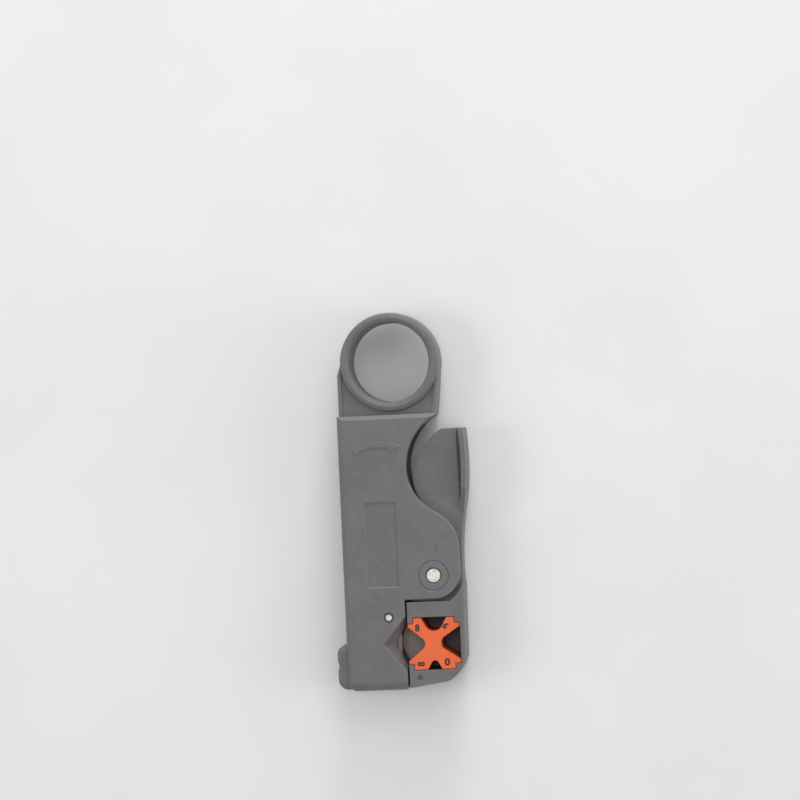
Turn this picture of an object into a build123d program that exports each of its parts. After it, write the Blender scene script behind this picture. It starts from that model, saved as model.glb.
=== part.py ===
from build123d import *
from math import atan2, cos, hypot, radians, sin, sqrt
import os

# Rotary two-blade coaxial cable stripper with a finger ring, lying on its back.
# Millimetres. X points to the thumb and jaw side, Y to the finger ring, Z out of the front face.

# Overall body
tool_thickness = 15.0
wall = 2.7
side_gap = 0.3
parting_gap = 0.5
body_left = -15.1
body_top = 22.4
body_bottom = -48.8
parting_left = 0.6
left_round = 2.2
top_bevel = 1.0
bottom_corner_r = 2.5
lip_bevel = 0.3
mid_z = tool_thickness / 2

# Finger ring and neck
ring_x = -0.8
ring_hole_r = 10.3
ring_wall = 2.5
ring_outer_r = ring_hole_r + ring_wall
ring_y = -body_bottom - ring_outer_r
ring_thickness = 13.0
ring_round = min(1.1, 0.44 * ring_wall)
ring_round_steps = 2
neck_thickness = 7.0
neck_rib = 0.9
neck_rib_thickness = 10.4
neck_left = -14.5
neck_right = 10.6

# Pivot
pivot_x = 8.4
pivot_y = -19.5
pin_r = 1.9
pin_fit = 0.02
pin_running_gap = 0.05
pin_end_setback = 0.25
pin_ring_r = 4.0
pin_ring_depth = 0.25
pin_ring_width = 0.35
pin_gap_width = 0.3
pin_gap_depth = 0.5
lobe_r = 7.0
hub_r = 6.3
jaw_arc_r = 7.7
open_angle = 12.0

# Finger opening beside the thumb lever, and the lobe round the pivot
scoop_top = (10.45, 21.9)
scoop_mid = (3.6, 14.03)
scoop_left = (2.54, 8.48)
scoop_low = (8.33, -2.3)
lobe_start = (pivot_x + 2.1, pivot_y + 15.85)
lobe_shoulder = (pivot_x + 6.85, pivot_y + 8.0)
lobe_bottom = pivot_y - 6.1

# Reversible V block
cable_above_bottom = 11.8
cable_y = body_bottom + cable_above_bottom
block_left = parting_left + parting_gap
block_size = 13.4
block_bottom = cable_y - block_size / 2
block_fit = 0.15
block_key = (1.4, 1.5)
block_floor = 2.0
block_floor_gap = 0.1
notch_left = (8.8, 4.3, 1.7)
notch_right = (8.6, 4.9, 2.0)
notch_top = (6.6, 3.5, 2.4)
notch_bottom = (3.7, 2.3, 1.0)

# Jaw and thumb lever
jaw_setback = 0.2
jaw_left = block_left
jaw_top = lobe_bottom - 0.6
jaw_side_wall = 1.2
jaw_side = block_left + block_size + jaw_side_wall
jaw_shoulder = (pivot_x + 7.5, pivot_y - 2.5)
jaw_corner = (
    (jaw_side, block_bottom + 3.2),
    (jaw_side - 1.5, block_bottom - 0.6),
    (jaw_side - 4.7, block_bottom - 3.15),
)
jaw_toe_y = body_bottom + 0.45
lever_top = 18.2
lever_arc = ((11.75, lever_top), (7.0, 14.0), (4.05, 7.3))
lever_heel = ((4.9, 2.2), (8.0, -1.3))
lever_waist = (5.3, -11.5)
pad_side = ((17.5, lever_top), (17.95, 9.84), (16.9, -3.0))
pad_width = 1.2
pad_fade_top = 3.0
pad_fade_bottom = -4.0
groove_width = 0.7
groove_low_width = 0.1
groove_share = 0.9
groove_depth = 0.9
jaw_round = 0.8

# Cable funnel in the body and under the V block
funnel_outer = (6.0, 7.35)
funnel_inner = (2.7, 5.6)
floor_vee_outer = (6.4, 6.6)
floor_vee_inner = (5.2, 4.8)

# Blade units on their pin
holder_pin_x = -3.67
holder_pin_y = cable_y + 7.07
holder_pin_r = 0.85
holder_pin_bore_r = 0.5
holder_pin_slit = 0.3
holder_pin_sink = 0.35
holder_pin_gap_width = 0.55
holder_pin_gap_depth = 0.8
holder_thickness = 4.2
holder_spacing = 0.8
holder_boss_r = 2.3
holder_left = -8.6
holder_right = -2.4
holder_foot_gap = 0.6
tail_right = -5.9
tail_bottom = body_bottom + 3.8
spacer_r = 2.2
spacer_thickness = 0.6
blade_thickness = 0.5
blade_spacing = 5.0
blade_length = 9.0
blade_left = -7.4
blade_bevel = 0.9
front_edge_x = -0.9
rear_edge_x = -1.5
clamp_x = -5.2
clamp_head_r = 1.8
clamp_head_height = 1.2
clamp_shank_r = 0.95
clamp_depth = 1.6

# Blade chamber
chamber_left = holder_left - 1.0
chamber_top = holder_pin_y + holder_boss_r + 0.43
chamber_bottom = cable_y - blade_length / 2 - 1.7
tail_pocket_right = -2.9
tail_pocket_bottom = tail_bottom - 1.2

# Depth setting screws in the side boss
set_screw_y = body_bottom + 6.6
set_screw_r = 1.5
set_screw_length = 8.0
set_screw_gap = 0.3
set_screw_running_gap = 0.05
socket_width = 1.5
socket_depth = 1.8
insert_r = set_screw_r + 0.7
insert_length = 5.0
insert_setback = 1.3
screw_way_r = set_screw_r + 0.25
boss_left = body_left - 2.6
boss_top = set_screw_y + 5.2
boss_bottom = set_screw_y - 5.1
boss_wall = 0.5
boss_thickness = blade_spacing + 2 * (insert_r + boss_wall)
boss_round = 2.0
boss_bevel = 0.8

# Springs, with wire of six flats and each turn in straight steps
spring_y = 0.6
spring_r = 2.6
spring_wire_r = 0.35
spring_turns = 7
spring_bore_gap = 0.5
spring_bore_end = -8.2
spring_seat_x = 6.9
tail_spring_y = tail_bottom + 0.6
tail_spring_r = 1.0
tail_spring_wire_r = 0.17
tail_spring_turns = 4
wire_flats = 6
coil_steps = 12

# Shallow rectangular recess on the front face
plate_recess = (7.8, 21.9, 0.35)
plate_recess_centre = (-4.6, -11.1)
plate_recess_bevel = 0.15

slot_low_z = wall
slot_high_z = tool_thickness - wall
web_low_z = slot_low_z + side_gap
web_thickness = slot_high_z - slot_low_z - 2 * side_gap
jaw_thickness = tool_thickness - 2 * jaw_setback
pocket_floor_z = jaw_setback + block_floor
block_centre_x = block_left + block_size / 2
front_holder_z = mid_z + holder_spacing / 2
front_blade_z = mid_z + blade_spacing / 2
set_screw_tip = holder_left - set_screw_gap


def turned(point, angle):
    """Point turned about the pivot, in degrees."""
    dx = point[0] - pivot_x
    dy = point[1] - pivot_y
    c, s = cos(radians(angle)), sin(radians(angle))
    return (pivot_x + dx * c - dy * s, pivot_y + dx * s + dy * c)


def on_jaw_arc(y):
    """Point of the jaw's hollow arc at height y, right of the pivot."""
    return (pivot_x + sqrt(jaw_arc_r**2 - (y - pivot_y) ** 2), y)


def vee(depth, half_height, edge_x, side, reach=1.0):
    """Corners of a V that opens at edge_x towards side and runs past it by reach."""
    slope = half_height / depth
    apex = edge_x - side * depth
    mouth = edge_x + side * reach
    return [
        (apex, cable_y),
        (mouth, cable_y + half_height + reach * slope),
        (mouth, cable_y - half_height - reach * slope),
    ]


# Body: ring, neck and slotted housing, moulded as one piece
with BuildSketch() as housing_outline:
    with BuildLine():
        scoop = ThreePointArc(scoop_top, scoop_mid, scoop_left)
        TangentArc(scoop_left, scoop_low, tangent=scoop % 1)
        lobe_line = Line(scoop_low, lobe_start)
        TangentArc(lobe_start, lobe_shoulder, tangent=lobe_line % 1)
        lobe_side = (pivot_x + lobe_r, lobe_bottom + lobe_r)
        Line(lobe_shoulder, lobe_side)
        TangentArc((pivot_x, lobe_bottom), lobe_side, tangent=(1, 0))
        Polyline(
            (pivot_x, lobe_bottom),
            (parting_left, lobe_bottom),
            (parting_left, body_bottom),
            (body_left, body_bottom),
            (body_left, body_top),
            (scoop_top[0], body_top),
            scoop_top,
        )
    make_face()

# Room for the lever to swing between the front and rear walls
swing_corner = turned(lever_arc[0], open_angle)
swing_heel = turned(lever_arc[2], open_angle)
with BuildSketch(Plane.XY.offset(slot_low_z)) as lever_slot:
    with BuildLine():
        slot_top = lever_top + 1.4
        slot_right = pad_side[1][0] + 4
        slot_arc = ThreePointArc(
            (swing_corner[0] - 0.9, slot_top),
            (swing_heel[0] + 0.2, (swing_corner[1] + swing_heel[1]) / 2 + 1.5),
            (swing_heel[0] - 0.8, swing_heel[1] - 2),
        )
        Polyline(
            slot_arc @ 1,
            (-0.5, -6.0),
            (pivot_x - hub_r - 0.9, -14.0),
            (pivot_x - hub_r - 0.9, lobe_bottom - 1),
            (slot_right, lobe_bottom - 1),
            (slot_right, slot_top),
            slot_arc @ 0,
        )
    make_face()

with BuildPart() as body:
    add(housing_outline.sketch)
    extrude(amount=tool_thickness)
    corner = body.edges().filter_by(Axis.Z).group_by(Axis.Y)[0].group_by(Axis.X)[0]
    fillet(corner, bottom_corner_r)
    left_edges = body.edges().filter_by(Axis.Y).group_by(Axis.X)[0]
    fillet(left_edges, left_round)
    # Fine bevel along the finger opening, the pivot lobe and the parting face
    lip_edges = (
        (body.faces().sort_by(Axis.Z)[-1].edges() + body.faces().sort_by(Axis.Z)[0].edges())
        .filter_by(lambda e: e.center().X > parting_left - 0.01 and e.center().Y < scoop_top[1])
    )
    chamfer(lip_edges, lip_bevel)
    # Bevel along the top edge, front and rear
    for face_z, direction in ((tool_thickness, -1), (0, 1)):
        with BuildSketch(Plane.YZ.offset(body_left - 1)):
            with BuildLine():
                Polyline(
                    (body_top - top_bevel, face_z),
                    (body_top + 1, face_z + direction * (top_bevel + 1)),
                    (body_top + 1, face_z - direction),
                    (body_top - top_bevel, face_z - direction),
                    close=True,
                )
            make_face()
        extrude(amount=scoop_top[0] - body_left + 4, mode=Mode.SUBTRACT)
    # Neck web between its two edge ribs
    for thickness, inset in ((neck_thickness, 0), (neck_rib_thickness, neck_rib)):
        with BuildSketch(Plane.XY.offset(mid_z - thickness / 2)):
            with BuildLine():
                Polyline(
                    (neck_left, body_top - 0.5),
                    (neck_left, ring_y - 3),
                    (ring_x - ring_outer_r + 0.05, ring_y),
                    (ring_x + ring_outer_r - 0.05, ring_y),
                    (neck_right + 0.9, ring_y - 6),
                    (neck_right, body_top - 0.5),
                    close=True,
                )
            make_face()
            if inset:
                with BuildLine():
                    Polyline(
                        (neck_left + inset, body_top - 1),
                        (neck_left + inset, ring_y - 3),
                        (ring_x - ring_outer_r + inset, ring_y + 1),
                        (ring_x + ring_outer_r - inset, ring_y + 1),
                        (neck_right + 0.9 - inset, ring_y - 6),
                        (neck_right - inset, body_top - 1),
                        close=True,
                    )
                make_face(mode=Mode.SUBTRACT)
        extrude(amount=thickness)
    # Side boss for the setting screws
    with BuildSketch(Plane.XY.offset(mid_z - boss_thickness / 2)):
        boss_width = body_left + 4 - boss_left
        with Locations((boss_left + boss_width / 2, (boss_top + boss_bottom) / 2)):
            Rectangle(boss_width, boss_top - boss_bottom)
    extrude(amount=boss_thickness)
    boss_corners = body.edges().filter_by(Axis.Z).group_by(Axis.X)[0]
    fillet(boss_corners, boss_round)
    boss_rims = (
        body.edges()
        .filter_by_position(Axis.Y, boss_bottom, boss_top)
        .filter_by(lambda e: e.center().X < body_left - 0.01)
        .filter_by(lambda e: abs(abs(e.center().Z - mid_z) - boss_thickness / 2) < 0.01)
    )
    chamfer(boss_rims, boss_bevel)
    # Slot, blade chamber and tail pocket
    add(lever_slot.sketch)
    extrude(amount=slot_high_z - slot_low_z, mode=Mode.SUBTRACT)
    with BuildSketch(Plane.XY.offset(slot_low_z)):
        with BuildLine():
            Polyline(
                (chamber_left, chamber_top),
                (parting_left + 1, chamber_top),
                (parting_left + 1, chamber_bottom),
                (tail_pocket_right, chamber_bottom),
                (tail_pocket_right, tail_pocket_bottom),
                (chamber_left, tail_pocket_bottom),
                close=True,
            )
        make_face()
    extrude(amount=slot_high_z - slot_low_z, mode=Mode.SUBTRACT)
    # Funnel that guides the cable to the blades, front and rear
    for inner_z, outer_z in ((slot_high_z, tool_thickness), (slot_low_z, 0)):
        for face_z, (depth, half_height) in ((inner_z, funnel_inner), (outer_z, funnel_outer)):
            with BuildSketch(Plane.XY.offset(face_z)):
                with BuildLine():
                    Polyline(*vee(depth, half_height, parting_left, 1), close=True)
                make_face()
        loft(mode=Mode.SUBTRACT)
    # Finger ring, its rims rounded in straight steps
    with Locations((ring_x, ring_y, mid_z)):
        Cylinder(ring_outer_r - ring_round, neck_rib_thickness)
        Cylinder(ring_hole_r, tool_thickness, mode=Mode.SUBTRACT)
    with BuildSketch(Plane((ring_x, ring_y, mid_z), x_dir=(1, 0, 0), z_dir=(0, -1, 0))):
        with BuildLine():
            rim_points = []
            corners = ((1, 1), (-1, 1), (-1, -1), (1, -1))
            for corner_index, (side_x, side_z) in enumerate(corners):
                for step in range(ring_round_steps + 1):
                    angle = radians(90 * (corner_index + step / ring_round_steps))
                    rim_points.append((
                        ring_hole_r + ring_wall / 2
                        + side_x * (ring_wall / 2 - ring_round) + ring_round * cos(angle),
                        side_z * (ring_thickness / 2 - ring_round) + ring_round * sin(angle),
                    ))
            Polyline(*rim_points, close=True)
        make_face()
    revolve(axis=Axis((ring_x, ring_y, mid_z), (0, 0, 1)))
    # Pin holes
    for hole_x, hole_y, hole_r in (
        (pivot_x, pivot_y, pin_r), (holder_pin_x, holder_pin_y, holder_pin_r)
    ):
        with Locations((hole_x, hole_y, mid_z)):
            Cylinder(hole_r + pin_fit, tool_thickness + 1, mode=Mode.SUBTRACT)
    # Sunk rings round the ends of the pins, front and rear
    for hole_x, hole_y, outer_r, inner_r, depth in (
        (pivot_x, pivot_y, pin_ring_r, pin_ring_r - pin_ring_width, pin_ring_depth),
        (pivot_x, pivot_y, pin_r + pin_gap_width, pin_r, pin_gap_depth),
        (holder_pin_x, holder_pin_y, holder_pin_r + holder_pin_gap_width, holder_pin_r,
         holder_pin_gap_depth),
    ):
        for end_z in (tool_thickness - depth, 0):
            with BuildSketch(Plane.XY.offset(end_z)):
                with Locations((hole_x, hole_y)):
                    Circle(outer_r)
                    Circle(inner_r, mode=Mode.SUBTRACT)
            extrude(amount=depth, mode=Mode.SUBTRACT)
    # Ways for the two setting screws and their threaded inserts
    for screw_z in (front_blade_z, 2 * mid_z - front_blade_z):
        with BuildSketch(Plane.YZ.offset(boss_left)):
            with Locations((set_screw_y, screw_z)):
                Circle(insert_r + pin_fit)
        extrude(amount=insert_setback + insert_length, mode=Mode.SUBTRACT)
        with BuildSketch(Plane.YZ.offset(boss_left)):
            with Locations((set_screw_y, screw_z)):
                Circle(screw_way_r)
        extrude(amount=chamber_left - boss_left, mode=Mode.SUBTRACT)
    # Blind bore that holds the return spring
    with BuildSketch(Plane.YZ.offset(spring_bore_end)):
        with Locations((spring_y, mid_z)):
            Circle(spring_r + spring_wire_r + spring_bore_gap)
    extrude(amount=scoop_left[0] - spring_bore_end, mode=Mode.SUBTRACT)
    # Shallow plain recess on the front, with a fine bevel round its edge
    with BuildSketch(Plane.XY.offset(tool_thickness - plate_recess[2])):
        with Locations(plate_recess_centre):
            Rectangle(plate_recess[0], plate_recess[1])
    extrude(amount=plate_recess[2], mode=Mode.SUBTRACT)
    recess_edges = (
        body.edges()
        .filter_by_position(Axis.Z, tool_thickness - 0.01, tool_thickness + 0.01)
        .filter_by(lambda e: abs(e.center().X - plate_recess_centre[0]) < plate_recess[0] / 2 + 0.01)
        .filter_by(lambda e: abs(e.center().Y - plate_recess_centre[1]) < plate_recess[1] / 2 + 0.01)
    )
    chamfer(recess_edges, plate_recess_bevel)

# Thumb pad: full width at the top, fading into the lever
with BuildPart() as thumb_pad:
    with BuildSketch(Plane.XY.offset(jaw_setback)):
        with BuildLine():
            outer = ThreePointArc(*pad_side)
            inner = ThreePointArc(*[(x - pad_width, y) for x, y in pad_side])
            Line(outer @ 0, inner @ 0)
            Line(outer @ 1, inner @ 1)
        make_face()
    extrude(amount=jaw_thickness)
    with BuildSketch(Plane.YZ) as pad_side_view:
        with BuildLine():
            web_high_z = web_low_z + web_thickness
            Polyline(
                (lever_top + 1, jaw_setback),
                (pad_fade_top, jaw_setback),
                (pad_fade_bottom, web_low_z),
                (pad_fade_bottom, web_high_z),
                (pad_fade_top, jaw_setback + jaw_thickness),
                (lever_top + 1, jaw_setback + jaw_thickness),
                close=True,
            )
        make_face()
    extrude(amount=2 * pad_side[1][0], mode=Mode.INTERSECT)

# Jaw and thumb lever, moulded as one piece
with BuildPart() as jaw_lever:
    with BuildSketch(Plane.XY.offset(web_low_z)):
        with BuildLine():
            ThreePointArc(*lever_arc)
            ThreePointArc(lever_arc[2], *lever_heel)
            hub_top_angle = 150
            hub_top = (
                pivot_x + hub_r * cos(radians(hub_top_angle)),
                pivot_y + hub_r * sin(radians(hub_top_angle)),
            )
            hub_side = (pivot_x - hub_r, pivot_y)
            Polyline(lever_heel[1], lever_waist, hub_top)
            hub_low_angle = 200
            hub_low = (
                pivot_x + hub_r * cos(radians(hub_low_angle)),
                pivot_y + hub_r * sin(radians(hub_low_angle)),
            )
            ThreePointArc(hub_top, hub_side, hub_low)
            Polyline(
                hub_low,
                (hub_low[0], jaw_top),
                (hub_low[0], jaw_top - 2),
                (jaw_shoulder[0], jaw_top - 2),
                jaw_shoulder,
            )
            pad_curve = ThreePointArc(*pad_side)
            TangentArc(pad_side[2], jaw_shoulder, tangent=pad_curve % 1)
            Line(pad_side[0], lever_arc[0])
        make_face()
    extrude(amount=web_thickness)
    add(thumb_pad.part)
    # Jaw block, hollowed round the pivot lobe
    with BuildSketch(Plane.XY.offset(jaw_setback)):
        with BuildLine():
            arc_low = on_jaw_arc(jaw_top)
            arc_high = on_jaw_arc(jaw_shoulder[1])
            arc_mid = on_jaw_arc((jaw_top + jaw_shoulder[1]) / 2)
            Line((jaw_left, jaw_top), arc_low)
            ThreePointArc(arc_low, arc_mid, arc_high)
            Line(arc_high, jaw_shoulder)
            jaw_side_line = Line(jaw_shoulder, jaw_corner[0])
            ThreePointArc(*jaw_corner)
            Polyline(jaw_corner[2], (jaw_left, jaw_toe_y), (jaw_left, jaw_top))
        make_face()
    extrude(amount=jaw_thickness)
    side_middle = jaw_side_line @ 0.5
    outer_rim = jaw_lever.edges().filter_by(
        lambda e: abs(abs(e.center().Z - mid_z) - jaw_thickness / 2) < 0.01
        and hypot(e.center().X - side_middle.X, e.center().Y - side_middle.Y) < 0.01
    )
    fillet(outer_rim, jaw_round)
    # Pocket for the V block, keyed at its corners and open towards the blades
    with BuildSketch(Plane.XY.offset(pocket_floor_z)):
        with Locations((block_centre_x, cable_y)):
            Rectangle(block_size + 2 * block_fit, block_size + 2 * block_fit)
            with GridLocations(block_size - block_key[0] + 2 * block_fit,
                               block_size - block_key[1] + 2 * block_fit, 2, 2):
                Rectangle(block_key[0] + 0.01, block_key[1] + 0.01, mode=Mode.SUBTRACT)
    extrude(amount=tool_thickness, mode=Mode.SUBTRACT)
    # Cable way through the pocket floor
    for face_z, (depth, half_height) in ((pocket_floor_z, floor_vee_inner), (jaw_setback, floor_vee_outer)):
        with BuildSketch(Plane.XY.offset(face_z)):
            with BuildLine():
                Polyline(*vee(depth, half_height, jaw_left, -1), close=True)
            make_face()
    loft(mode=Mode.SUBTRACT)
    # Hub bore, spring seat and the sunk line beside the thumb pad
    with Locations((pivot_x, pivot_y, mid_z)):
        Cylinder(pin_r + pin_running_gap, tool_thickness, mode=Mode.SUBTRACT)
    with BuildSketch(Plane.YZ.offset(scoop_left[0])):
        with Locations((spring_y, mid_z)):
            Circle(spring_r + spring_wire_r + spring_bore_gap)
    extrude(amount=spring_seat_x - scoop_left[0], mode=Mode.SUBTRACT)
    for face_z in (web_low_z + web_thickness - groove_depth, web_low_z):
        with BuildSketch(Plane.XY.offset(face_z)):
            with BuildLine():
                pad_inside = ThreePointArc(
                    *[(x - pad_width, y) for x, y in pad_side], mode=Mode.PRIVATE
                )
                groove_top, groove_mid, groove_low = (
                    pad_inside @ (share * groove_share) for share in (0, 0.5, 1)
                )
                groove = ThreePointArc(groove_top, groove_mid, groove_low)
                Polyline(
                    groove @ 0,
                    (groove_top.X - groove_width, groove_top.Y),
                    (groove_low.X - groove_low_width, groove_low.Y),
                    groove @ 1,
                )
            make_face()
        extrude(amount=groove_depth, mode=Mode.SUBTRACT)


# V block: a cross with four different cable notches
with BuildPart() as v_block:
    with BuildSketch(Plane.XY.offset(pocket_floor_z + block_floor_gap)):
        with Locations((block_centre_x, cable_y)):
            Rectangle(block_size, block_size)
            with GridLocations(block_size - block_key[0], block_size - block_key[1], 2, 2):
                Rectangle(block_key[0], block_key[1], mode=Mode.SUBTRACT)
        half = block_size / 2
        sides = (
            (notch_left, 180),
            (notch_right, 0),
            (notch_top, 90),
            (notch_bottom, 270),
        )
        for (opening, depth, bottom_r), facing in sides:
            away = (cos(radians(facing)), sin(radians(facing)))
            across = (-away[1], away[0])
            # straight flanks run tangent from the opening to the round bottom
            reach = depth - bottom_r
            span = hypot(opening / 2, reach)
            along = half - depth + bottom_r

            def place(out, side):
                return (
                    block_centre_x + out * away[0] + side * across[0],
                    cable_y + out * away[1] + side * across[1],
                )

            flank_angle = atan2(opening / 2, reach) + atan2(sqrt(span**2 - bottom_r**2), bottom_r)
            touch_out = along + bottom_r * cos(flank_angle)
            touch_side = bottom_r * sin(flank_angle)
            slope = (opening / 2 - touch_side) / (half - touch_out)
            with BuildLine():
                ThreePointArc(
                    place(touch_out, touch_side),
                    place(half - depth, 0),
                    place(touch_out, -touch_side),
                )
                Polyline(
                    place(touch_out, -touch_side),
                    place(half + 1, -opening / 2 - slope),
                    place(half + 1, opening / 2 + slope),
                    place(touch_out, touch_side),
                )
            make_face(mode=Mode.SUBTRACT)
    extrude(amount=tool_thickness - jaw_setback - pocket_floor_z - 2 * block_floor_gap)

# Pins
with BuildPart() as pivot_pin:
    with Locations((pivot_x, pivot_y, mid_z)):
        Cylinder(pin_r, tool_thickness - 2 * pin_end_setback)
    chamfer(pivot_pin.edges().filter_by(GeomType.CIRCLE), 0.2)

with BuildPart() as holder_pin:
    with BuildSketch(Plane.XY.offset(holder_pin_sink)):
        with Locations((holder_pin_x, holder_pin_y)):
            Circle(holder_pin_r)
            Circle(holder_pin_bore_r, mode=Mode.SUBTRACT)
            with Locations((holder_pin_r / 2, 0)):
                Rectangle(holder_pin_r * 1.2, holder_pin_slit, mode=Mode.SUBTRACT)
    extrude(amount=tool_thickness - 2 * holder_pin_sink)

with BuildPart() as holder_spacer:
    with Locations((holder_pin_x, holder_pin_y, mid_z)):
        Cylinder(spacer_r, spacer_thickness)
        Cylinder(holder_pin_r + pin_fit, tool_thickness, mode=Mode.SUBTRACT)

# Blade units: the front one is modelled, the rear one mirrors it
with BuildPart() as front_blade_holder:
    with BuildSketch(Plane.XY.offset(front_holder_z)):
        with Locations((holder_pin_x, holder_pin_y)):
            Circle(holder_boss_r)
        with BuildLine():
            Polyline(
                (holder_left, holder_pin_y - 1.5),
                (holder_pin_x - 1.2, holder_pin_y + 1.6),
                (holder_right, holder_pin_y - 1.5),
                (holder_right, chamber_bottom + holder_foot_gap),
                (tail_right, chamber_bottom + holder_foot_gap),
                (tail_right, tail_bottom),
                (holder_left, tail_bottom),
                close=True,
            )
        make_face()
    extrude(amount=holder_thickness)
    with BuildSketch(Plane.XY.offset(front_blade_z - blade_thickness / 2)):
        seat_left = blade_left - 0.1
        with Locations(((seat_left + 1) / 2, cable_y)):
            Rectangle(1 - seat_left, blade_length + 0.2)
    extrude(amount=holder_thickness, mode=Mode.SUBTRACT)
    with Locations((holder_pin_x, holder_pin_y, mid_z)):
        Cylinder(holder_pin_r + pin_running_gap, 2 * tool_thickness, mode=Mode.SUBTRACT)
    with Locations((clamp_x, cable_y, front_blade_z)):
        Cylinder(
            clamp_shank_r + pin_fit,
            clamp_depth + 0.3,
            align=(Align.CENTER, Align.CENTER, Align.MAX),
            mode=Mode.SUBTRACT,
        )


def blade_solid(edge_x):
    """Blade plate with its cutting edge along Y at edge_x, bevelled on both faces."""
    low = front_blade_z - blade_thickness / 2
    high = front_blade_z + blade_thickness / 2
    with BuildPart() as blade:
        with BuildSketch(Plane.XZ.offset(-cable_y)):
            with BuildLine():
                Polyline(
                    (blade_left, low),
                    (edge_x - blade_bevel, low),
                    (edge_x, front_blade_z),
                    (edge_x - blade_bevel, high),
                    (blade_left, high),
                    close=True,
                )
            make_face()
        extrude(amount=blade_length / 2, both=True)
        with Locations((clamp_x, cable_y, front_blade_z)):
            Cylinder(clamp_shank_r + 0.15, 4 * blade_thickness, mode=Mode.SUBTRACT)
    return blade.part


with BuildPart() as front_clamp_screw:
    head_z = front_blade_z + blade_thickness / 2
    with Locations((clamp_x, cable_y, head_z)):
        Cylinder(clamp_head_r, clamp_head_height, align=(Align.CENTER, Align.CENTER, Align.MIN))
        Cylinder(
            clamp_shank_r,
            clamp_depth + blade_thickness,
            align=(Align.CENTER, Align.CENTER, Align.MAX),
        )
    with BuildSketch(Plane.XY.offset(head_z + clamp_head_height - 0.5)):
        with Locations((clamp_x, cable_y)):
            Rectangle(2 * clamp_head_r + 1, 0.4)
    extrude(amount=1, mode=Mode.SUBTRACT)

# Setting screws with hex sockets, and their threaded inserts
with BuildPart() as front_set_screw:
    with BuildSketch(Plane.YZ.offset(set_screw_tip - set_screw_length)):
        with Locations((set_screw_y, front_blade_z)):
            Circle(set_screw_r)
    extrude(amount=set_screw_length)
    chamfer(front_set_screw.edges().filter_by(GeomType.CIRCLE), 0.3)
    with BuildSketch(Plane.YZ.offset(set_screw_tip - set_screw_length)):
        with Locations((set_screw_y, front_blade_z)):
            RegularPolygon(socket_width / 2, 6, major_radius=False)
    extrude(amount=socket_depth, mode=Mode.SUBTRACT)

with BuildPart() as front_insert:
    with BuildSketch(Plane.YZ.offset(boss_left + insert_setback)):
        with Locations((set_screw_y, front_blade_z)):
            Circle(insert_r)
            Circle(set_screw_r + set_screw_running_gap, mode=Mode.SUBTRACT)
    extrude(amount=insert_length)


def coil(start_x, end_x, y, z, radius, wire_r, turns):
    """Compression spring along X between two seats."""
    steps = turns * coil_steps
    step_x = (end_x - start_x - 2 * wire_r) / steps
    with BuildPart() as spring:
        with BuildLine() as path:
            points = []
            for step in range(steps + 1):
                angle = radians(360 * step / coil_steps)
                points.append((
                    start_x + wire_r + step * step_x,
                    y + radius * cos(angle),
                    z + radius * sin(angle),
                ))
            Polyline(*points)
        with BuildSketch(Plane(path.line @ 0, z_dir=path.line % 0)):
            RegularPolygon(wire_r, wire_flats)
        sweep(transition=Transition.RIGHT)
    return spring.part


return_spring = coil(
    spring_bore_end, spring_seat_x, spring_y, mid_z, spring_r, spring_wire_r, spring_turns
)
front_holder_spring = coil(
    tail_right, tail_pocket_right, tail_spring_y, front_blade_z,
    tail_spring_r, tail_spring_wire_r, tail_spring_turns,
)

mirror_plane = Plane.XY.offset(mid_z)
front_blade = blade_solid(front_edge_x)
pieces = {
    "body": body.part,
    "jaw_lever": jaw_lever.part,
    "v_block": v_block.part,
    "pivot_pin": pivot_pin.part,
    "return_spring": return_spring,
    "holder_pin": holder_pin.part,
    "holder_spacer": holder_spacer.part,
    "front_blade_holder": front_blade_holder.part,
    "rear_blade_holder": mirror(front_blade_holder.part, about=mirror_plane),
    "front_blade": front_blade,
    "rear_blade": mirror(blade_solid(rear_edge_x), about=mirror_plane),
    "front_clamp_screw": front_clamp_screw.part,
    "rear_clamp_screw": mirror(front_clamp_screw.part, about=mirror_plane),
    "front_set_screw": front_set_screw.part,
    "rear_set_screw": mirror(front_set_screw.part, about=mirror_plane),
    "front_insert": front_insert.part,
    "rear_insert": mirror(front_insert.part, about=mirror_plane),
    "front_holder_spring": front_holder_spring,
    "rear_holder_spring": mirror(front_holder_spring, about=mirror_plane),
}

os.makedirs("parts", exist_ok=True)
for name, piece in pieces.items():
    piece.label = name
    export_step(piece, f"parts/{name}.step")
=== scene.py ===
from math import cos, pi, radians, sin

import bmesh
import bpy
from mathutils import Matrix, Vector


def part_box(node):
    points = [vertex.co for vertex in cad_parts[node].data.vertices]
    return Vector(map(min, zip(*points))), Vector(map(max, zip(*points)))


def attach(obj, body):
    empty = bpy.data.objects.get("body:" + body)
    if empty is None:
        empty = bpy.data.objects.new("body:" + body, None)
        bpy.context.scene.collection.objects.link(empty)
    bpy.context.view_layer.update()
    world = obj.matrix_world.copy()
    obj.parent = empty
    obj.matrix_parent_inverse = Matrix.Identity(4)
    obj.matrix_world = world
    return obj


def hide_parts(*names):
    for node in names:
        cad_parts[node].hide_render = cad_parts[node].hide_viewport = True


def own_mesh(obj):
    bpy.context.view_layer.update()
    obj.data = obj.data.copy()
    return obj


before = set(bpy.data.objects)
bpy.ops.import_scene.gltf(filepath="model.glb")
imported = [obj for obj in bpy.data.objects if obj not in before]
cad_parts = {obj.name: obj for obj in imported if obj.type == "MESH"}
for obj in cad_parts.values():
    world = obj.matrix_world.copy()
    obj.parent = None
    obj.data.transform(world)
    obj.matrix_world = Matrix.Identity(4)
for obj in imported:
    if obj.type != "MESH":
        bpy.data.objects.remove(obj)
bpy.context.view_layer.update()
mm = 0.001  # sizes are in millimetres unless a note says metres, and this brings them to metres


def boxOf(node):
    low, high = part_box(node)
    return low / mm, high / mm


def middleOf(node):
    low, high = boxOf(node)
    return (low + high) / 2


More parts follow.
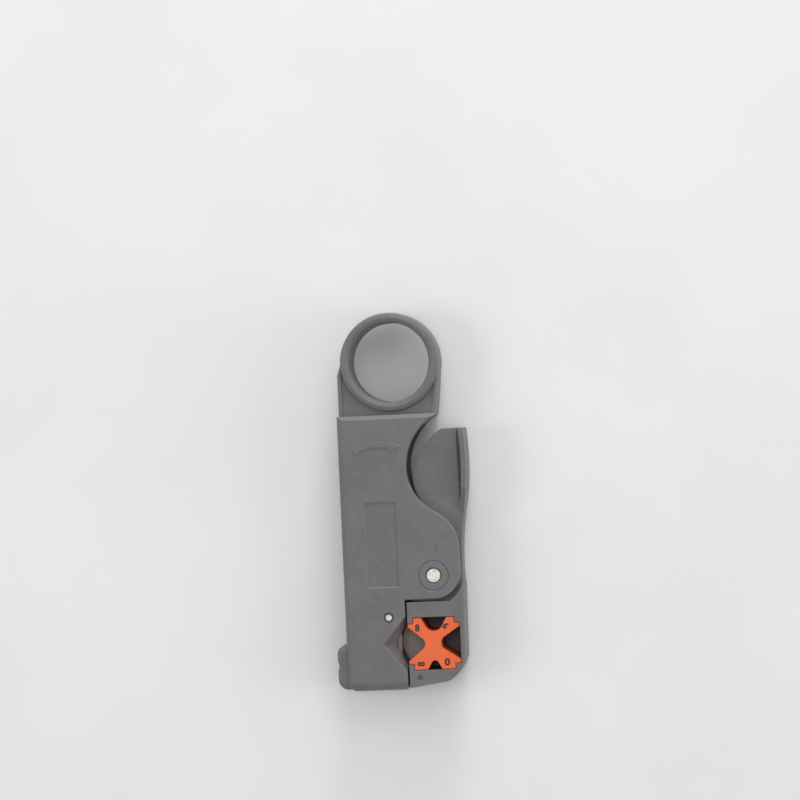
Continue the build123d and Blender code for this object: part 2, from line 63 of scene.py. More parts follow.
shell = {
    "mergeWithin": 0.002,  # points nearer than this become one
    "smoothAngle": 35,  # degrees; flatter creases than this are shaded smooth
    "crispAngle": 12,  # the same for pieces whose fine bevels meet a flat face
}


def deselectAll():
    if bpy.context.mode != "OBJECT":
        bpy.ops.object.mode_set(mode="OBJECT")
    bpy.ops.object.select_all(action="DESELECT")


def activate(piece):
    deselectAll()
    piece.select_set(True)
    bpy.context.view_layer.objects.active = piece


def settle(piece):
    activate(piece)
    bpy.ops.object.transform_apply(location=True, rotation=True, scale=True)
    return piece


def applyModifier(piece, kind, **settings):
    activate(piece)
    modifier = piece.modifiers.new(kind.title(), kind)
    for key, value in settings.items():
        setattr(modifier, key, value)
    bpy.ops.object.modifier_apply(modifier=modifier.name)


def cutAway(piece, tool):
    applyModifier(piece, "BOOLEAN", operation="DIFFERENCE", object=tool, solver="EXACT")
    bpy.data.objects.remove(tool)


def closeShell(piece, smoothAngle=shell["smoothAngle"]):
    activate(piece)
    bpy.ops.object.mode_set(mode="EDIT")
    bpy.ops.mesh.select_all(action="SELECT")
    bpy.ops.mesh.remove_doubles(threshold=shell["mergeWithin"] * mm)
    bpy.ops.mesh.normals_make_consistent(inside=False)
    bpy.ops.object.mode_set(mode="OBJECT")
    bpy.ops.object.shade_smooth_by_angle(angle=radians(smoothAngle))


def finishPiece(piece, name, body, finish):
    piece.name = name
    piece.data.name = name
    piece.data.materials.clear()
    piece.data.materials.append(finish)
    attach(piece, body)


class Signal:  # one socket's value, on which shader maths is written as plain sums
    def __init__(self, finish, socket):
        self.finish = finish
        self.socket = socket

    def combine(self, operation, first, second):
        return self.finish.add("ShaderNodeMath", {"operation": operation}, {0: first, 1: second})

    def __add__(self, other):
        return self.combine("ADD", self, other)

    def __radd__(self, other):
        return self.combine("ADD", other, self)

    def __sub__(self, other):
        return self.combine("SUBTRACT", self, other)

    def __rsub__(self, other):
        return self.combine("SUBTRACT", other, self)

    def __mul__(self, other):
        return self.combine("MULTIPLY", self, other)

    def __rmul__(self, other):
        return self.combine("MULTIPLY", other, self)

    def between(self, low, high):
        settings = {"interpolation_type": "SMOOTHSTEP"}
        return self.finish.add("ShaderNodeMapRange", settings, {0: self, 1: low, 2: high})


edgeFinding = {
    "bevelSamples": 4,
    "wearAndEdgeLight": (0.02, 0.25),  # how far the rounded normal leaves the flat one, from a plain face to a full edge, which gets wear and painted edge light
    "paintedShadeSamples": 6,
    "paintedCreviceShade": (0.55, 0.85),  # how closed in a place is, from open to a full crevice that gets painted shade
}


class Finish:
    def __init__(self, name):
        self.material = bpy.data.materials.new(name)
        self.material.use_nodes = True
        self.tree = self.material.node_tree
        self.tree.nodes.clear()
        self.place = self.add("ShaderNodeTexCoord", output="Object")

    def add(self, kind, settings=None, inputs=None, output=0):
        node = self.tree.nodes.new(kind)
        for key, value in (settings or {}).items():
            setattr(node, key, value)
        for key, value in (inputs or {}).items():
            if isinstance(value, Signal):
                self.tree.links.new(value.socket, node.inputs[key])
            else:
                node.inputs[key].default_value = value
        return Signal(self, node.outputs[output]) if node.outputs else node

    def noise(self, size, detail, stretch=(1, 1, 1), turn=0):
        place = self.add(
            "ShaderNodeMapping",
            inputs={"Vector": self.place, "Rotation": (0, 0, radians(turn)), "Scale": stretch},
        )
        sockets = {"Vector": place, "Scale": 1 / (size * mm), "Detail": detail}
        return self.add("ShaderNodeTexNoise", inputs=sockets)

    def cells(self, size):
        sockets = {"Vector": self.place, "Scale": 1 / (size * mm)}
        return self.add("ShaderNodeTexVoronoi", {"feature": "F1"}, sockets, "Distance")

    def mix(self, amount, first, second):
        return self.add("ShaderNodeMix", {"data_type": "RGBA"}, {0: amount, 6: first, 7: second}, 2)

    def roundedNormal(self, radius):
        settings = {"samples": edgeFinding["bevelSamples"]}
        return self.add("ShaderNodeBevel", settings, {"Radius": radius * mm})

    # mask of rounded edges, which carries both edge wear and painted edge light
    def edgeWear(self, rounded):
        flat = self.add("ShaderNodeNewGeometry", output="True Normal")
        settings = {"operation": "DOT_PRODUCT"}
        facing = self.add("ShaderNodeVectorMath", settings, {0: rounded, 1: flat}, "Value")
        return (1 - facing).between(*edgeFinding["wearAndEdgeLight"])

    # mask of creases, gaps and recesses, where painted shade goes
    def paintedCreviceShade(self, reach):
        settings = {"samples": edgeFinding["paintedShadeSamples"], "only_local": True}
        openness = self.add("ShaderNodeAmbientOcclusion", settings, {"Distance": reach * mm}, "AO")
        return (1 - openness).between(*edgeFinding["paintedCreviceShade"])

    def bump(self, height, depth, normal):
        sockets = {"Strength": 1.0, "Distance": depth * mm, "Height": height, "Normal": normal}
        return self.add("ShaderNodeBump", inputs=sockets)

    def close(self, fixed, **linked):
        shader = self.add("ShaderNodeBsdfPrincipled", inputs={**fixed, **linked})
        self.add("ShaderNodeOutputMaterial", inputs={"Surface": shader})
        return self.material


def tint(red, green, blue):  # screen levels from 0 to 255, made linear
    channels = []
    for level in (red, green, blue):
        share = level / 255
        channels.append(share / 12.92 if share <= 0.04045 else ((share + 0.055) / 1.055) ** 2.4)
    return (*channels, 1.0)


bodyLook = {
    "base": tint(113, 111, 114),
    "darker": tint(106, 105, 108),
    "lighter": tint(120, 119, 120),
    # edge colour, partly wear and partly a painted highlight along the edges
    "edge": tint(186, 184, 186),
    # painted shade for creases, gaps and recesses
    "paintedCreviceShade": tint(40, 39, 42),
    "roughness": 0.4,
    "edgeRadius": 0.2,
}

jawLook = {
    "base": tint(113, 111, 111),
    "darker": tint(105, 104, 104),
    "lighter": tint(120, 118, 117),
    "edge": tint(166, 164, 164),
    "paintedCreviceShade": tint(40, 39, 40),
    "roughness": 0.42,
    "edgeRadius": 0.2,
}

blockLook = {
    "base": tint(240, 108, 60),
    "darker": tint(228, 94, 48),
    "lighter": tint(244, 122, 76),
    # darker edge colour: painted shade along the block's edges
    "edge": tint(188, 66, 40),
    "paintedCreviceShade": tint(120, 40, 26),
    "roughness": 0.42,
    "edgeRadius": 0.28,
}

holderLook = {
    "base": tint(48, 48, 51),
    "darker": tint(40, 40, 43),
    "lighter": tint(58, 58, 60),
    "edge": tint(84, 84, 86),
    "paintedCreviceShade": tint(22, 22, 24),
    "roughness": 0.5,
    "edgeRadius": 0.15,
}


moulding = {  # sizes, then the share that each takes
    "driftSize": 14,  # broad flow marks of the moulding
    "drift": (0.32, 0.68),
    "mottleSize": 2.2,
    "mottle": (0.45, 0.8),
    "mottleShare": 0.55,
    "mottleRoughness": 0.12,
    "mottleBump": 0.6,
    "grainSize": 0.22,  # spark-eroded skin of the mould
    "grainRoughness": 0.06,
    "scuffSize": 0.7,
    "scuffStretch": (0.5, 1.4, 1),
    "scuffTurn": 24,  # degrees
    "scuff": (0.66, 0.78),
    "scuffShare": 0.12,
    "scuffBump": 0.5,
    # edges take the edge colour, partly for wear and partly as painted light
    "wearAndEdgeLightSize": 1.6,
    "wearAndEdgeLight": (0.12, 0.5),
    "wearAndEdgeLightShare": 0.85,
    "wearRoughness": 0.1,
    # painted shade in creases, gaps and recesses, reaching this far and mixed in by this share
    "paintedShadeReach": 0.9,
    "paintedShadeShare": 0.7,
    "bumpDepth": 0.012,
    "specular": 0.45,
}


def mouldedPlastic(name, look):
    finish = Finish(name)
    drift = finish.noise(moulding["driftSize"], 3)
    mottle = finish.noise(moulding["mottleSize"], 4)
    grain = finish.noise(moulding["grainSize"], 2)
    scuff = finish.noise(moulding["scuffSize"], 2, moulding["scuffStretch"], moulding["scuffTurn"])
    scuff = scuff.between(*moulding["scuff"])
    rounded = finish.roundedNormal(look["edgeRadius"])
    # edges take the look's edge colour: partly wear, partly painted light along the edges (a
    # highlight on grey and black, a shadow line on orange)
    wearAndEdgeLight = finish.edgeWear(rounded)
    wearAndEdgeLight = wearAndEdgeLight * finish.noise(moulding["wearAndEdgeLightSize"], 3).between(*moulding["wearAndEdgeLight"])
    tone = finish.mix(drift.between(*moulding["drift"]), look["darker"], look["base"])
    blotch = mottle.between(*moulding["mottle"]) * moulding["mottleShare"]
    tone = finish.mix(blotch, tone, look["lighter"])
    tone = finish.mix(scuff * moulding["scuffShare"], tone, look["edge"])
    tone = finish.mix(wearAndEdgeLight * moulding["wearAndEdgeLightShare"], tone, look["edge"])
    # painted shade: creases, gaps and recesses are darkened as if the light falls short there
    paintedCreviceShade = finish.paintedCreviceShade(moulding["paintedShadeReach"]) * moulding["paintedShadeShare"]
    tone = finish.mix(paintedCreviceShade, tone, look["paintedCreviceShade"])
    roughness = look["roughness"] + mottle * moulding["mottleRoughness"]
    roughness = roughness - wearAndEdgeLight * moulding["wearRoughness"] + grain * moulding["grainRoughness"]
    height = grain + mottle * moulding["mottleBump"] - scuff * moulding["scuffBump"]
    skin = finish.bump(height, moulding["bumpDepth"], rounded)
    return finish.close(
        {"Specular IOR Level": moulding["specular"]},
        **{"Base Color": tone, "Roughness": roughness, "Normal": skin},
    )


metalLooks = {  # colours are linear, and depth is the height of the grain
    "pin": {
        "base": (0.86, 0.79, 0.72, 1), "shade": (0.5, 0.46, 0.42, 1),
        "roughness": 0.34, "grainSize": 0.35, "depth": 0.05,
    },
    "blade": {
        "base": (0.3, 0.3, 0.315, 1), "shade": (0.17, 0.17, 0.18, 1),
        "roughness": 0.32, "grainSize": 0.2, "depth": 0.004,
    },
    "blackScrew": {
        "base": (0.05, 0.05, 0.055, 1), "shade": (0.02, 0.02, 0.022, 1),
        "roughness": 0.38, "grainSize": 0.15, "depth": 0.008,
    },
    "spring": {
        "base": (0.52, 0.52, 0.53, 1), "shade": (0.3, 0.3, 0.31, 1),
        "roughness": 0.3, "grainSize": 0.12, "depth": 0.004,
    },
    "brass": {
        "base": (0.72, 0.52, 0.22, 1), "shade": (0.45, 0.31, 0.12, 1),
        "roughness": 0.33, "grainSize": 0.14, "depth": 0.006,
    },
}


metalSkin = {
    "stainSize": 1.3,
    "stain": (0.4, 0.75),
    "stainShare": 0.5,
    "grain": (0.5, 0.72),
    "grainShare": 0.4,
    "dullRoughness": 0.2,
    "pitSize": 1.6,  # against the grain
    "pitBump": 0.5,
    "edgeRadius": 0.1,
    "wearAndEdgeLightShare": 0.5,
}


def workedMetal(name, look):
    finish = Finish(name)
    grain = finish.noise(look["grainSize"], 4)
    stain = finish.noise(metalSkin["stainSize"], 3)
    pits = finish.cells(look["grainSize"] * metalSkin["pitSize"])
    rounded = finish.roundedNormal(metalSkin["edgeRadius"])
    wearAndEdgeLight = finish.edgeWear(rounded)
    dull = stain.between(*metalSkin["stain"]) * metalSkin["stainShare"]
    dull = dull + grain.between(*metalSkin["grain"]) * metalSkin["grainShare"]
    tone = finish.mix(dull, look["base"], look["shade"])
    tone = finish.mix(wearAndEdgeLight * metalSkin["wearAndEdgeLightShare"], tone, look["base"])
    roughness = look["roughness"] + dull * metalSkin["dullRoughness"]
    skin = finish.bump(grain + pits * metalSkin["pitBump"], look["depth"], rounded)
    return finish.close(
        {"Metallic": 1.0},
        **{"Base Color": tone, "Roughness": roughness, "Normal": skin},
    )


markSkin = {
    "patchSize": 0.35,
    "patch": (0.4, 0.72),
    "roughness": 0.5,
    "patchRoughness": 0.2,
    "bumpDepth": 0.006,
    "edgeRadius": 0.03,
}


def filledMark(name, colour, lighter):
    finish = Finish(name)
    patch = finish.noise(markSkin["patchSize"], 3)
    tone = finish.mix(patch.between(*markSkin["patch"]), colour, lighter)
    roughness = markSkin["roughness"] + patch * markSkin["patchRoughness"]
    rounded = finish.roundedNormal(markSkin["edgeRadius"])
    skin = finish.bump(patch, markSkin["bumpDepth"], rounded)
    return finish.close({}, **{"Base Color": tone, "Roughness": roughness, "Normal": skin})


finishes = {
    "body": mouldedPlastic("greyHousingPlastic", bodyLook),
    "jaw": mouldedPlastic("greyLeverPlastic", jawLook),
    "block": mouldedPlastic("orangeBlockPlastic", blockLook),
    "holder": mouldedPlastic("blackHolderPlastic", holderLook),
    "pin": workedMetal("peenedPinSteel", metalLooks["pin"]),
    "blade": workedMetal("groundBladeSteel", metalLooks["blade"]),
    "blackScrew": workedMetal("blackenedScrewSteel", metalLooks["blackScrew"]),
    "spring": workedMetal("drawnSpringWire", metalLooks["spring"]),
    "brass": workedMetal("turnedBrass", metalLooks["brass"]),
    "numeral": filledMark("darkNumeralFill", tint(52, 34, 40), tint(78, 44, 44)),
    "pointer": filledMark("darkPointerFill", tint(66, 67, 69), tint(80, 80, 81)),
    "tick": filledMark("faintTickFill", tint(88, 88, 90), tint(104, 103, 105)),
}

nodeFinishes = {
    "body": "body",
    "jaw_lever": "jaw",
    "v_block": "block",
    "front_blade_holder": "holder",
    "rear_blade_holder": "holder",
    "pivot_pin": "pin",
    "holder_pin": "pin",
    "holder_spacer": "pin",
    "front_blade": "blade",
    "rear_blade": "blade",
    "front_clamp_screw": "pin",
    "rear_clamp_screw": "pin",
    "front_set_screw": "blackScrew",
    "rear_set_screw": "blackScrew",
    "front_insert": "brass",
    "rear_insert": "brass",
    "return_spring": "spring",
    "front_holder_spring": "spring",
    "rear_holder_spring": "spring",
}


def dressNodes():
    for node, finish in nodeFinishes.items():
        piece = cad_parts[node]
        if not piece.material_slots:
            piece.data.materials.append(None)
        for place in piece.material_slots:
            place.material = finishes[finish]


dressNodes()
print("finishes on the solid pieces")

unitTriangle = {"tall": 1.5, "halfWide": sin(pi / 3)}  # a three-sided cylinder of radius 1

# raised arrow that shows which way to turn the tool
arrow = {
    "centre": (-4.4, 1.9),  # the shaft bends about this point
    "radius": 12.9,
    "tailAngle": 120.5,  # degrees from +X
    "headAngle": 77.0,
    "shaftWidth": 1.35,
    "headBase": (-1.6, 14.45),
    "headTip": (1.3, 14.2),
    "headWidth": 3.1,
    "rise": 0.18,
    "sink": 0.1,  # into the face, so that the two join
    "steps": 24,
    "edgeRound": 0.07,
}


def makeArrow():
    top = boxOf("body")[1].z + arrow["rise"]
    height = arrow["rise"] + arrow["sink"]
    middleZ = top - height / 2
    centre = Vector((*arrow["centre"], middleZ)) * mm
    tail = radians(arrow["tailAngle"])
    start = centre + Vector((cos(tail), sin(tail), 0)) * arrow["radius"] * mm
    deselectAll()
    bpy.ops.mesh.primitive_plane_add(size=1, location=start, rotation=(pi / 2, 0, tail))
    shaft = bpy.context.object
    shaft.scale = (arrow["shaftWidth"] * mm, height * mm, 1)
    settle(shaft)
    bpy.ops.object.mode_set(mode="EDIT")
    bpy.ops.mesh.select_all(action="SELECT")
    sweep = radians(arrow["tailAngle"] - arrow["headAngle"])
    bpy.ops.mesh.spin(steps=arrow["steps"], angle=sweep, center=centre, axis=(0, 0, 1))
    closeShell(shaft)
    base, tip = Vector(arrow["headBase"]), Vector(arrow["headTip"])
    length = (tip - base).length
    deselectAll()
    bpy.ops.mesh.primitive_cylinder_add(vertices=3, radius=1, depth=height * mm)
    head = bpy.context.object
    head.rotation_euler.z = -pi / 2  # a corner points along X
    settle(head)
    widening = arrow["headWidth"] / 2 / unitTriangle["halfWide"]
    head.scale = (length / unitTriangle["tall"] * mm, widening * mm, 1)
    head.rotation_euler.z = (tip - base).angle_signed(Vector((1, 0)))
    third = base.lerp(tip, 1 / 3)  # a triangle's middle lies a third up from its base
    head.location = (third.x * mm, third.y * mm, middleZ * mm)
    settle(head)
    applyModifier(shaft, "BOOLEAN", operation="UNION", object=head, solver="EXACT")
    bpy.data.objects.remove(head)
    applyModifier(shaft, "BEVEL", width=arrow["edgeRound"] * mm, segments=2, limit_method="ANGLE")
    closeShell(shaft, shell["crispAngle"])
    finishPiece(shaft, "turn_arrow", "housing", finishes["body"])


makeArrow()
print("turning arrow")

# lever's left edge, which passes under the lip of the finger opening
heel = {
    "centre": (14.45, 6.02),
    "radius": 10.55,
    "cutTop": (5.55, 11.7),  # the disk is cut off along a line that hides inside the lever
    "cutBottom": (8.55, -3.0),
    "lowZ": 3.01,
    "highZ": 11.99,
    "facets": 160,
    "boreGap": 0.8,  # room round the return spring, which ends inside the lever
    "boreFacets": 96,
}

# fills the neck between its ribs, up to the ring's wall
neckWeb = {
    "low": (-14.25, 21.9, 2.75),
    "high": (10.2, 35.0, 12.25),
    "lean": ((-1, 0.75), (1, 1.25)),  # each side, and how far it leans right at the ring
    "ringCentre": (-0.8, 36.0),
    "ringInside": 11.5,  # the web ends at this radius, within the ring's wall
    "ringTall": 20,  # passes right through the web
    "ringFacets": 128,
}

# lower end of the side boss
bossFoot = {
    "low": (-17.69, -48.4, 2.31),
    "high": (-11.0, -44.9, 12.69),
    "corner": 2.6,
    "cornerSteps": 8,
    "bevel": 0.8,
    "nearby": 0.05,  # an edge this near to a side lies on it
}


def makeBlock(low, high):
    low, high = Vector(low) * mm, Vector(high) * mm
    deselectAll()
    bpy.ops.mesh.primitive_cube_add(size=1, location=(low + high) / 2)
    piece = bpy.context.object
    piece.scale = high - low
    return settle(piece)


def selectParts(piece, kind, wanted):
    activate(piece)
    bpy.ops.object.mode_set(mode="EDIT")
    bpy.ops.mesh.select_mode(type=kind)
    bpy.ops.mesh.select_all(action="DESELECT")
    shape = bmesh.from_edit_mesh(piece.data)
    parts = shape.verts if kind == "VERT" else shape.edges
    for part in parts:
        if wanted(part):
            part.select_set(True)
    shape.select_flush_mode()
    bmesh.update_edit_mesh(piece.data)


def edgeMiddle(edge):
    return (edge.verts[0].co + edge.verts[1].co) / 2 / mm


def makeHeel():
    deselectAll()
    middle = Vector((*heel["centre"], (heel["lowZ"] + heel["highZ"]) / 2)) * mm
    height = (heel["highZ"] - heel["lowZ"]) * mm
    bpy.ops.mesh.primitive_cylinder_add(
        vertices=heel["facets"], radius=heel["radius"] * mm, depth=height, location=middle,
    )
    piece = settle(bpy.context.object)
    chord = Vector(heel["cutBottom"]) - Vector(heel["cutTop"])
    bpy.ops.object.mode_set(mode="EDIT")
    bpy.ops.mesh.select_all(action="SELECT")
    bpy.ops.mesh.bisect(
        plane_co=Vector((*heel["cutTop"], 0)) * mm,
        plane_no=Vector((-chord.y, chord.x, 0)).normalized(),
        use_fill=True,
        clear_outer=True,
    )
    low, high = boxOf("return_spring")
    boreRadius = (high.y - low.y) / 2 + heel["boreGap"]
    deselectAll()
    bpy.ops.mesh.primitive_cylinder_add(
        vertices=heel["boreFacets"], radius=boreRadius * mm, depth=(high.x - low.x) * mm,
        location=middleOf("return_spring") * mm, rotation=(0, pi / 2, 0),
    )
    cutAway(piece, settle(bpy.context.object))
    closeShell(piece)
    finishPiece(piece, "lever_heel", "jaw", finishes["jaw"])


def makeNeckWeb():
    piece = makeBlock(neckWeb["low"], neckWeb["high"])
    middle = (Vector(neckWeb["low"]) + Vector(neckWeb["high"])) / 2
    for side, shift in neckWeb["lean"]:
        selectParts(piece, "VERT", lambda v: v.co.x * side > 0 and v.co.y / mm > middle.y)
        bpy.ops.transform.translate(value=(shift * mm, 0, 0))
    deselectAll()
    place = Vector((*neckWeb["ringCentre"], middle.z)) * mm
    bpy.ops.mesh.primitive_cylinder_add(
        vertices=neckWeb["ringFacets"], radius=neckWeb["ringInside"] * mm,
        depth=neckWeb["ringTall"] * mm, location=place,
    )
    cutAway(piece, settle(bpy.context.object))
    closeShell(piece)
    finishPiece(piece, "neck_web", "housing", finishes["body"])


def makeBossFoot():
    low, high = Vector(bossFoot["low"]), Vector(bossFoot["high"])
    nearby = bossFoot["nearby"]

    def onOuterCorner(edge):
        place = edgeMiddle(edge)
        return place.x < low.x + nearby and place.y < low.y + nearby

    def onFreeRim(edge):  # the sides against the boss and the housing stay square
        place = edgeMiddle(edge)
        onFace = min(abs(place.z - low.z), abs(place.z - high.z)) < nearby
        return onFace and place.x < high.x - nearby and place.y < high.y - nearby

    piece = makeBlock(low, high)
    selectParts(piece, "EDGE", onOuterCorner)
    bpy.ops.mesh.bevel(
        offset=bossFoot["corner"] * mm, segments=bossFoot["cornerSteps"], affect="EDGES",
    )
    selectParts(piece, "EDGE", onFreeRim)
    bpy.ops.mesh.bevel(offset=bossFoot["bevel"] * mm, segments=1, affect="EDGES")
    closeShell(piece)
    finishPiece(piece, "boss_foot", "housing", finishes["body"])


makeHeel()
makeNeckWeb()
makeBossFoot()
print("lever heel, neck web and boss foot")

# turned pin that carries the blade holders, with a nick in each end
holderPin = {
    "radius": 0.85,
    "facets": 64,
    "endBevel": 0.12,
    "bevelAbove": 60,  # degrees; only the rims of the ends are this sharp
    "nick": (0.66, 0.28, 0.6),  # wide, tall and deep
    "nickPlace": (0.16, 0.4),  # from the middle of the pin
}


def makeHolderPin():
    low, high = boxOf("holder_pin")
    middle = middleOf("holder_pin")
    deselectAll()
    bpy.ops.mesh.primitive_cylinder_add(
        vertices=holderPin["facets"], radius=holderPin["radius"] * mm,
        depth=(high.z - low.z) * mm, location=middle * mm,
        end_fill_type="TRIFAN",  # one many-sided face would be lost when the nick is cut
    )
    piece = settle(bpy.context.object)
    applyModifier(
        piece, "BEVEL", width=holderPin["endBevel"] * mm, segments=3,
        limit_method="ANGLE", angle_limit=radians(holderPin["bevelAbove"]),
    )
    wide, tall, deep = holderPin["nick"]
    centre = middle.xy + Vector(holderPin["nickPlace"])
    for endZ in (low.z, high.z):
        nick = makeBlock(
            (centre.x - wide / 2, centre.y - tall / 2, endZ - deep),
            (centre.x + wide / 2, centre.y + tall / 2, endZ + deep),
        )
        cutAway(piece, nick)
    closeShell(piece, shell["crispAngle"])
    finishPiece(piece, "turned_holder_pin", "housing", finishes["pin"])
    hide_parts("holder_pin")


makeHolderPin()
print("holder pin")

# pointer triangle under the V block
pointer = {
    "apex": (3.8, -44.65),
    "baseY": -46.15,
    "width": 1.75,
    "rise": 0.02,
    "sink": 0.1,
    "edgeBevel": 0.015,
}


def makePointer():
    height = pointer["rise"] + pointer["sink"]
    tall = pointer["apex"][1] - pointer["baseY"]
    middleZ = boxOf("jaw_lever")[1].z + pointer["rise"] - height / 2
    deselectAll()
    bpy.ops.mesh.primitive_cylinder_add(vertices=3, radius=1, depth=height * mm)
    piece = bpy.context.object
    widening = pointer["width"] / 2 / unitTriangle["halfWide"]
    piece.scale = (widening * mm, tall / unitTriangle["tall"] * mm, 1)
    piece.location = (pointer["apex"][0] * mm, (pointer["baseY"] + tall / 3) * mm, middleZ * mm)
    settle(piece)
    edgeBevel = pointer["edgeBevel"] * mm
    applyModifier(piece, "BEVEL", width=edgeBevel, segments=1, limit_method="ANGLE")
    closeShell(piece)
    finishPiece(piece, "pointer_mark", "jaw", finishes["pointer"])


makePointer()

# tick above the pivot
tick = {
    "centre": (9.4, -12.2),
    "length": 2.6,
    "width": 0.3,
    "rise": 0.012,
    "sink": 0.1,
    "edgeRound": 0.3,  # against the width
}


def makeTick():
    height = tick["rise"] + tick["sink"]
    middleZ = boxOf("body")[1].z + tick["rise"] - height / 2
    place = [c * mm for c in (*tick["centre"], middleZ)]
    deselectAll()
    bpy.ops.mesh.primitive_plane_add(size=1, location=place)
    piece = bpy.context.object
    piece.scale = (tick["width"] * mm, tick["length"] * mm, 1)
    settle(piece)
    applyModifier(piece, "SOLIDIFY", thickness=height * mm, offset=0)
    edgeRound = tick["width"] * tick["edgeRound"] * mm
    applyModifier(piece, "BEVEL", width=edgeRound, segments=3, limit_method="ANGLE")
    closeShell(piece, shell["crispAngle"])
    finishPiece(piece, "pivot_tick", "housing", finishes["tick"])


makeTick()
print("pointer and tick")

# numerals on the four arms of the V block
numerals = {
    "height": 1.95,
    "rise": 0.02,
    "sink": 0.08,
    "thicken": 0.042,  # added round each stroke, against the font's size
    "curveSteps": 6,
    "marks": {  # plain figure, middle on the block, turn in degrees, width against height
        "numeral_upper_left": ("8", (3.56, -32.87), 0, 0.92),
        "numeral_upper_right": ("6", (10.94, -32.5), -52, 0.92),
        "numeral_lower_left": ("8", (4.17, -42.24), 90, 0.92),
        "numeral_lower_right": ("0", (10.96, -41.88), 0, 1.1),
    },
}


def makeNumeral(name, figure, middle, turn, widening):
    top = boxOf("v_block")[1].z + numerals["rise"]
    height = numerals["rise"] + numerals["sink"]
    deselectAll()
    bpy.ops.object.text_add()
    writing = bpy.context.object
    writing.data.body = figure
    writing.data.align_x = "CENTER"
    writing.data.align_y = "CENTER"
    writing.data.size = 1
    writing.data.resolution_u = numerals["curveSteps"]
    writing.data.offset = numerals["thicken"]
    writing.data.extrude = 0.5  # to both sides, so it is 1 thick before it is scaled
    bpy.ops.object.convert(target="MESH")
    piece = bpy.context.object
    tall = piece.dimensions.y
    bpy.ops.object.origin_set(type="ORIGIN_GEOMETRY", center="BOUNDS")
    piece.location = (0, 0, 0)
    size = numerals["height"] / tall * mm
    piece.scale = (size * widening, size, height * mm)
    settle(piece)
    piece.rotation_euler.z = radians(turn)
    piece.location = (middle[0] * mm, middle[1] * mm, (top - height / 2) * mm)
    settle(piece)
    closeShell(piece)
    finishPiece(piece, name, "block", finishes["numeral"])


for name, (figure, middle, turn, widening) in numerals["marks"].items():
    makeNumeral(name, figure, middle, turn, widening)
print("numerals")

# springs with closed ends
springs = {  # wire is a radius, and bend is how far the seat moves aside for each step along
    "return_coil": {
        "node": "return_spring", "joint": "jaw_swing", "wire": 0.35, "turns": 7,
        "fixedEnd": "low", "keep": 0.686, "bend": 0.207, "slack": 0.15,
    },
    "front_tail_coil": {
        "node": "front_holder_spring", "joint": "front_holder_tilt", "wire": 0.17, "turns": 5,
        "fixedEnd": "high", "keep": 0.76, "bend": 0, "slack": 0,
    },
    "rear_tail_coil": {
        "node": "rear_holder_spring", "joint": "rear_holder_tilt", "wire": 0.17, "turns": 5,
        "fixedEnd": "high", "keep": 0.76, "bend": 0, "slack": 0,
    },
}


coil = {
    "wireFacets": 10,
    "stepsPerTurn": 36,
    "endPitch": 2.05,  # against the wire's radius, so that the end turns all but touch
    "joinWithin": 0.01,  # between one run of turns and the next
    "smoothAngle": 50,  # degrees
}


def makeSpring(name, spring):
    low, high = boxOf(spring["node"])
    middle = middleOf(spring["node"])
    wire = spring["wire"]
    coilRadius = (high.y - low.y) / 2 - wire - spring["slack"]
    length = high.x - low.x - 2 * wire
    endPitch = coil["endPitch"] * wire
    pitch = (length - 2 * endPitch) / (spring["turns"] - 2)
    stretches = ((1, endPitch), (spring["turns"] - 2, pitch), (1, endPitch))  # turns and pitch
    runs = []
    startX = 0
    for turns, rise in stretches:
        deselectAll()
        bpy.ops.mesh.primitive_circle_add(
            vertices=coil["wireFacets"], radius=wire * mm, rotation=(pi / 2, 0, 0),
        )
        run = bpy.context.object
        run.location = (startX * mm, 0, coilRadius * mm)
        settle(run)
        applyModifier(
            run, "SCREW", axis="X", angle=2 * pi, screw_offset=rise * mm, iterations=turns,
            steps=coil["stepsPerTurn"], render_steps=coil["stepsPerTurn"],
            use_merge_vertices=True,
        )
        runs.append(run)
        startX += rise * turns
    deselectAll()
    for run in runs:
        run.select_set(True)
    piece = runs[0]
    bpy.context.view_layer.objects.active = piece
    bpy.ops.object.join()
    piece.location = ((low.x + wire) * mm, middle.y * mm, middle.z * mm)
    settle(piece)
    bpy.ops.object.mode_set(mode="EDIT")
    bpy.ops.mesh.select_all(action="SELECT")
    bpy.ops.mesh.remove_doubles(threshold=coil["joinWithin"] * mm)
    bpy.ops.mesh.select_all(action="DESELECT")
    bpy.ops.mesh.select_non_manifold()
    bpy.ops.mesh.edge_face_add()
    closeShell(piece, coil["smoothAngle"])
    finishPiece(piece, name, "housing", finishes["spring"])
    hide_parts(spring["node"])
    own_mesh(piece)


for name, spring in springs.items():
    makeSpring(name, spring)
print("springs")

# floor and light
stageLook = {
    "floorSize": 6.0,  # metres
    "floorGap": 0.02,  # under the part, so that the two faces don't flicker
    "floorRoughness": 0.8,
    "patchSize": 60,
    "patch": (0.35, 0.65),
    "floor": (0.9, 0.895, 0.88, 1),
    "floorShade": (0.87, 0.865, 0.85, 1),
    "worldColour": (1.0, 1.0, 1.0, 1),
    "worldStrength": 0.44,
    "lamps": {  # place and width of the disk in metres, and power in watts
        "keyLamp": ((0.28, 0.55, 0.75), 0.5, 1.05),
        "topLamp": ((0.02, 0.12, 1.1), 0.35, 1.0),
        "fillLamp": ((-0.62, 0.0, 0.62), 0.4, 1.2),
        "rimLamp": ((0.12, 0.95, 0.24), 0.4, 5.4),
        "sideLamp": ((0.9, -0.1, 0.4), 0.5, 1.8),
    },
}

cameraView = {
    "lookAt": (1.8, 26.1, 15.0),  # the point under the middle of the picture
    "distance": 800.0,
    "yaw": 5.3,  # degrees off straight down, towards the thumb side
    "roll": 2.6,  # the ring leans this many degrees to the left
    "frameWidth": 206.4,  # across the whole picture
    "sensorWidth": 36.0,
    "farthest": 20,  # metres
}


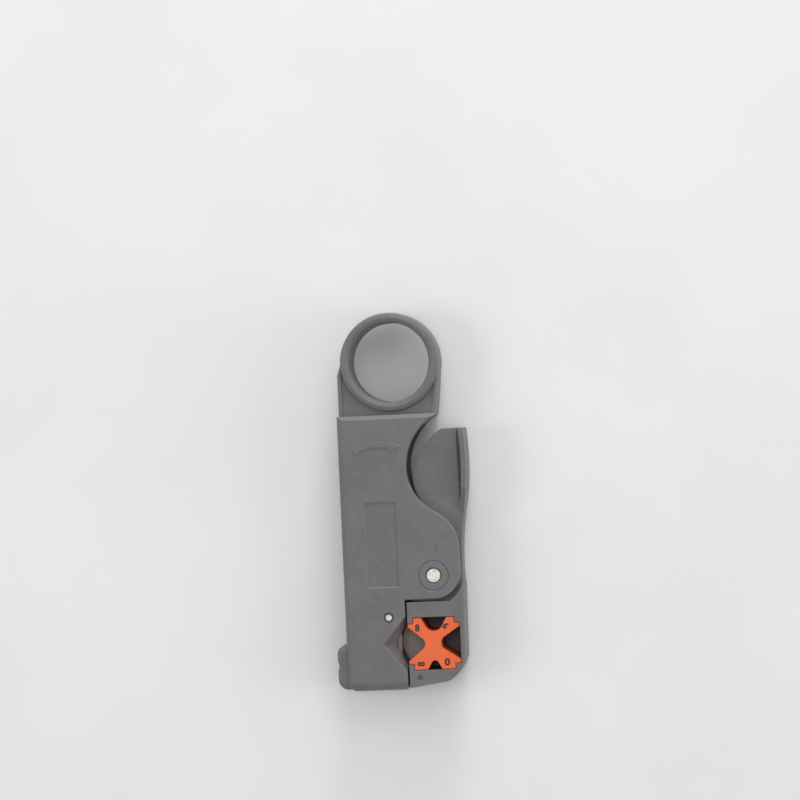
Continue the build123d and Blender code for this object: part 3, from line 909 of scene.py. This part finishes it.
def makeFloor():
    deselectAll()
    place = (0, 0, -stageLook["floorGap"] * mm)
    bpy.ops.mesh.primitive_plane_add(size=stageLook["floorSize"], location=place)
    floor = bpy.context.object
    floor.name = "floor"
    finish = Finish("paleFloor")
    patch = finish.noise(stageLook["patchSize"], 3).between(*stageLook["patch"])
    tone = finish.mix(patch, stageLook["floor"], stageLook["floorShade"])
    fixed = {"Roughness": stageLook["floorRoughness"]}
    floor.data.materials.append(finish.close(fixed, **{"Base Color": tone}))


def makeLamp(name, place, size, power):
    deselectAll()
    bpy.ops.object.light_add(type="AREA", location=place)
    lamp = bpy.context.object
    lamp.name = name
    lamp.data.shape = "DISK"
    lamp.data.size = size
    lamp.data.energy = power
    lamp.rotation_euler = (-Vector(place)).to_track_quat("-Z", "Y").to_euler()


def makeLight():
    world = bpy.data.worlds.new("studio")
    bpy.context.scene.world = world
    world.use_nodes = True
    backdrop = world.node_tree.nodes["Background"]
    backdrop.inputs["Color"].default_value = stageLook["worldColour"]
    backdrop.inputs["Strength"].default_value = stageLook["worldStrength"]
    for name, (place, size, power) in stageLook["lamps"].items():
        makeLamp(name, place, size, power)
    bpy.context.scene.view_settings.view_transform = "Standard"


def makeCamera():
    yaw, roll = radians(cameraView["yaw"]), radians(cameraView["roll"])
    outward = Vector((sin(yaw), 0, cos(yaw)))
    level = Vector((cos(yaw), 0, -sin(yaw)))
    along = Vector((0, 1, 0))
    right = level * cos(roll) - along * sin(roll)
    up = level * sin(roll) + along * cos(roll)
    place = (Vector(cameraView["lookAt"]) + outward * cameraView["distance"]) * mm
    bpy.ops.object.camera_add()
    camera = bpy.context.object
    camera.name = "photoCamera"
    facing = Matrix((right, up, outward)).transposed().to_4x4()
    camera.matrix_world = Matrix.Translation(place) @ facing
    camera.data.sensor_width = cameraView["sensorWidth"]
    camera.data.lens = cameraView["sensorWidth"] * cameraView["distance"] / cameraView["frameWidth"]
    camera.data.clip_end = cameraView["farthest"]
    bpy.context.scene.camera = camera


makeFloor()
makeLight()
makeCamera()
print("floor, light and camera")
